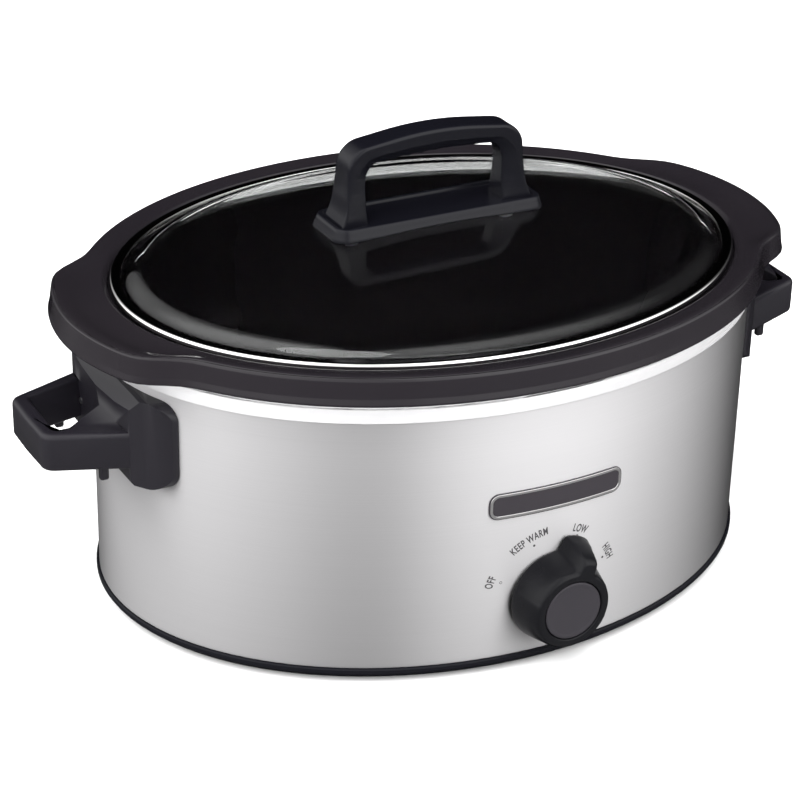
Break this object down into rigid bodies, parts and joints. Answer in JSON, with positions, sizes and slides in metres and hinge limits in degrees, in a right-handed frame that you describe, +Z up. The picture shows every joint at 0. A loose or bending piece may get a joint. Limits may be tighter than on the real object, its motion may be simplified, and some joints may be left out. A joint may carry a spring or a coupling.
{
  "type": "slow cooker",
  "caption": "Oval countertop slow cooker: steel-wrapped heating base, lift-out glazed crock, glass lid with arched handle, and a rotary dial.",
  "frame": {"origin": "centre of the oval on the plane that the feet rest on", "axes": "+Z up, long axis of the oval along X, control knob on the -Y side, cord gland on the +Y side"},
  "size_m": [0.439, 0.311, 0.236],
  "materials": {
    "wrap_steel": "vertically shaded brushed stainless steel",
    "rim_steel": "bright polished rolled rim",
    "lid_steel": "polished steel",
    "zinc_steel": "zinc-plated steel",
    "badge_metal": "satin charcoal with a silver border",
    "base_plastic": "black moulded plastic",
    "handle_plastic": "satin charcoal-black moulded plastic",
    "grip_plastic": "satin-gloss black phenolic",
    "knob_plastic": "satin black moulded plastic",
    "cap_plastic": "satin dark grey",
    "switch_plastic": "cream moulded plastic",
    "wire_cover": "braided glass sleeve",
    "fuse_sleeve": "woven glass sleeve",
    "mica": "mica board",
    "brass_blades": "plain",
    "foot_rubber": "plain",
    "washer_silicone": "translucent grey silicone",
    "glazed_stoneware": "gloss black glaze",
    "lid_glass": "clear tempered glass"
  },
  "bodies": {
    "housing": {"outer_wrap": "wrap_steel", "base_pan": "base_plastic", "feet": "foot_rubber", "heating_well": "rim_steel", "tie_stud": "zinc_steel", "tie_nut": "zinc_steel", "heater_band": "mica", "band_straps": "zinc_steel", "strap_screws": "zinc_steel", "side_handle_right": "handle_plastic", "side_handle_left": "handle_plastic", "backing_plates": "zinc_steel", "side_handle_screws": "zinc_steel", "nameplate": "badge_metal", "cord_gland": "base_plastic", "switch_body": "switch_plastic", "switch_cover": "switch_plastic", "switch_terminals": "brass_blades", "switch_nut": "zinc_steel", "supply_wires": "wire_cover", "wire_crimps": "wire_cover", "heater_leads": "wire_cover", "thermal_fuse": "fuse_sleeve", "fuse_clip": "zinc_steel"},
    "crock": {"stoneware_crock": "glazed_stoneware"},
    "lid": {"lid_glass": "lid_glass", "lid_rim": "lid_steel", "handle_plate": "grip_plastic", "handle_grip": "grip_plastic", "lid_screws": "zinc_steel", "lid_washers": "washer_silicone"},
    "knob": {"switch_shaft": "zinc_steel", "control_knob": "knob_plastic", "knob_cap": "cap_plastic", "knob_clip": "zinc_steel"}
  },
  "joints": [
    {"name": "knob_turn", "type": "hinge", "parent": "housing", "child": "knob", "pos_m": [0, -0.15, 0.039], "axis": [0, -1, 0], "range_deg": [-45, 90]},
    {"name": "crock_lift", "type": "slide", "parent": "housing", "child": "crock", "axis": [0, 0, 1], "range_m": [0, 0.16]},
    {"name": "lid_lift", "type": "slide", "parent": "crock", "child": "lid", "axis": [0, 0, 1], "range_m": [0, 0.12]}
  ]
}
